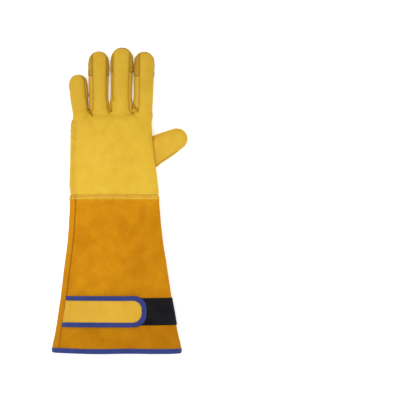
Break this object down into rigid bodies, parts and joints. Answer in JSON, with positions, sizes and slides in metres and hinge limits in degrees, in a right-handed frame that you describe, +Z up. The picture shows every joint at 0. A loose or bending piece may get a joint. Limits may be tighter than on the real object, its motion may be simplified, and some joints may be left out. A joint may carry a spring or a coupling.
{
  "type": "rose pruning gauntlet",
  "caption": "Left-hand rose pruning gauntlet in yellow grain leather and suede with a long flared suede cuff, blue binding and a strap tab, lying palm down.",
  "frame": {"origin": "middle of the underside of the glove's bounding box, on the surface it lies on", "axes": "+Y along the fingers, +Z up from the back of the hand, +X towards the thumb side"},
  "size_m": [0.1916, 0.43, 0.047],
  "materials": {
    "grain_leather": "smooth yellow grain leather, semi-matt",
    "palm_suede": "pale yellow suede, matt",
    "cap_suede": "khaki suede, matt",
    "thumb_suede": "yellow suede, matt",
    "cuff_suede": "orange-brown split leather, matt",
    "binding_tape": "blue woven tape",
    "loop_fabric": "black loop-pile band"
  },
  "bodies": {
    "root": {"back_panel": "grain_leather", "palm_panel": "grain_leather", "middle_ring_panel": "grain_leather", "side_strip_index_middle": "grain_leather", "side_strip_middle_ring": "grain_leather", "side_strip_ring_little": "grain_leather", "index_cap": "cap_suede", "middle_cap": "cap_suede", "ring_cap": "cap_suede", "little_cap": "cap_suede", "thumb_back": "grain_leather", "thumb_front": "thumb_suede", "thumb_welt": "grain_leather", "palm_patch": "palm_suede", "heel_patch": "grain_leather", "cuff_back": "cuff_suede", "cuff_front": "cuff_suede", "loop_band": "loop_fabric", "strap_tab": "grain_leather", "strap_binding": "binding_tape", "hem_binding": "binding_tape"}
  },
  "joints": []
}
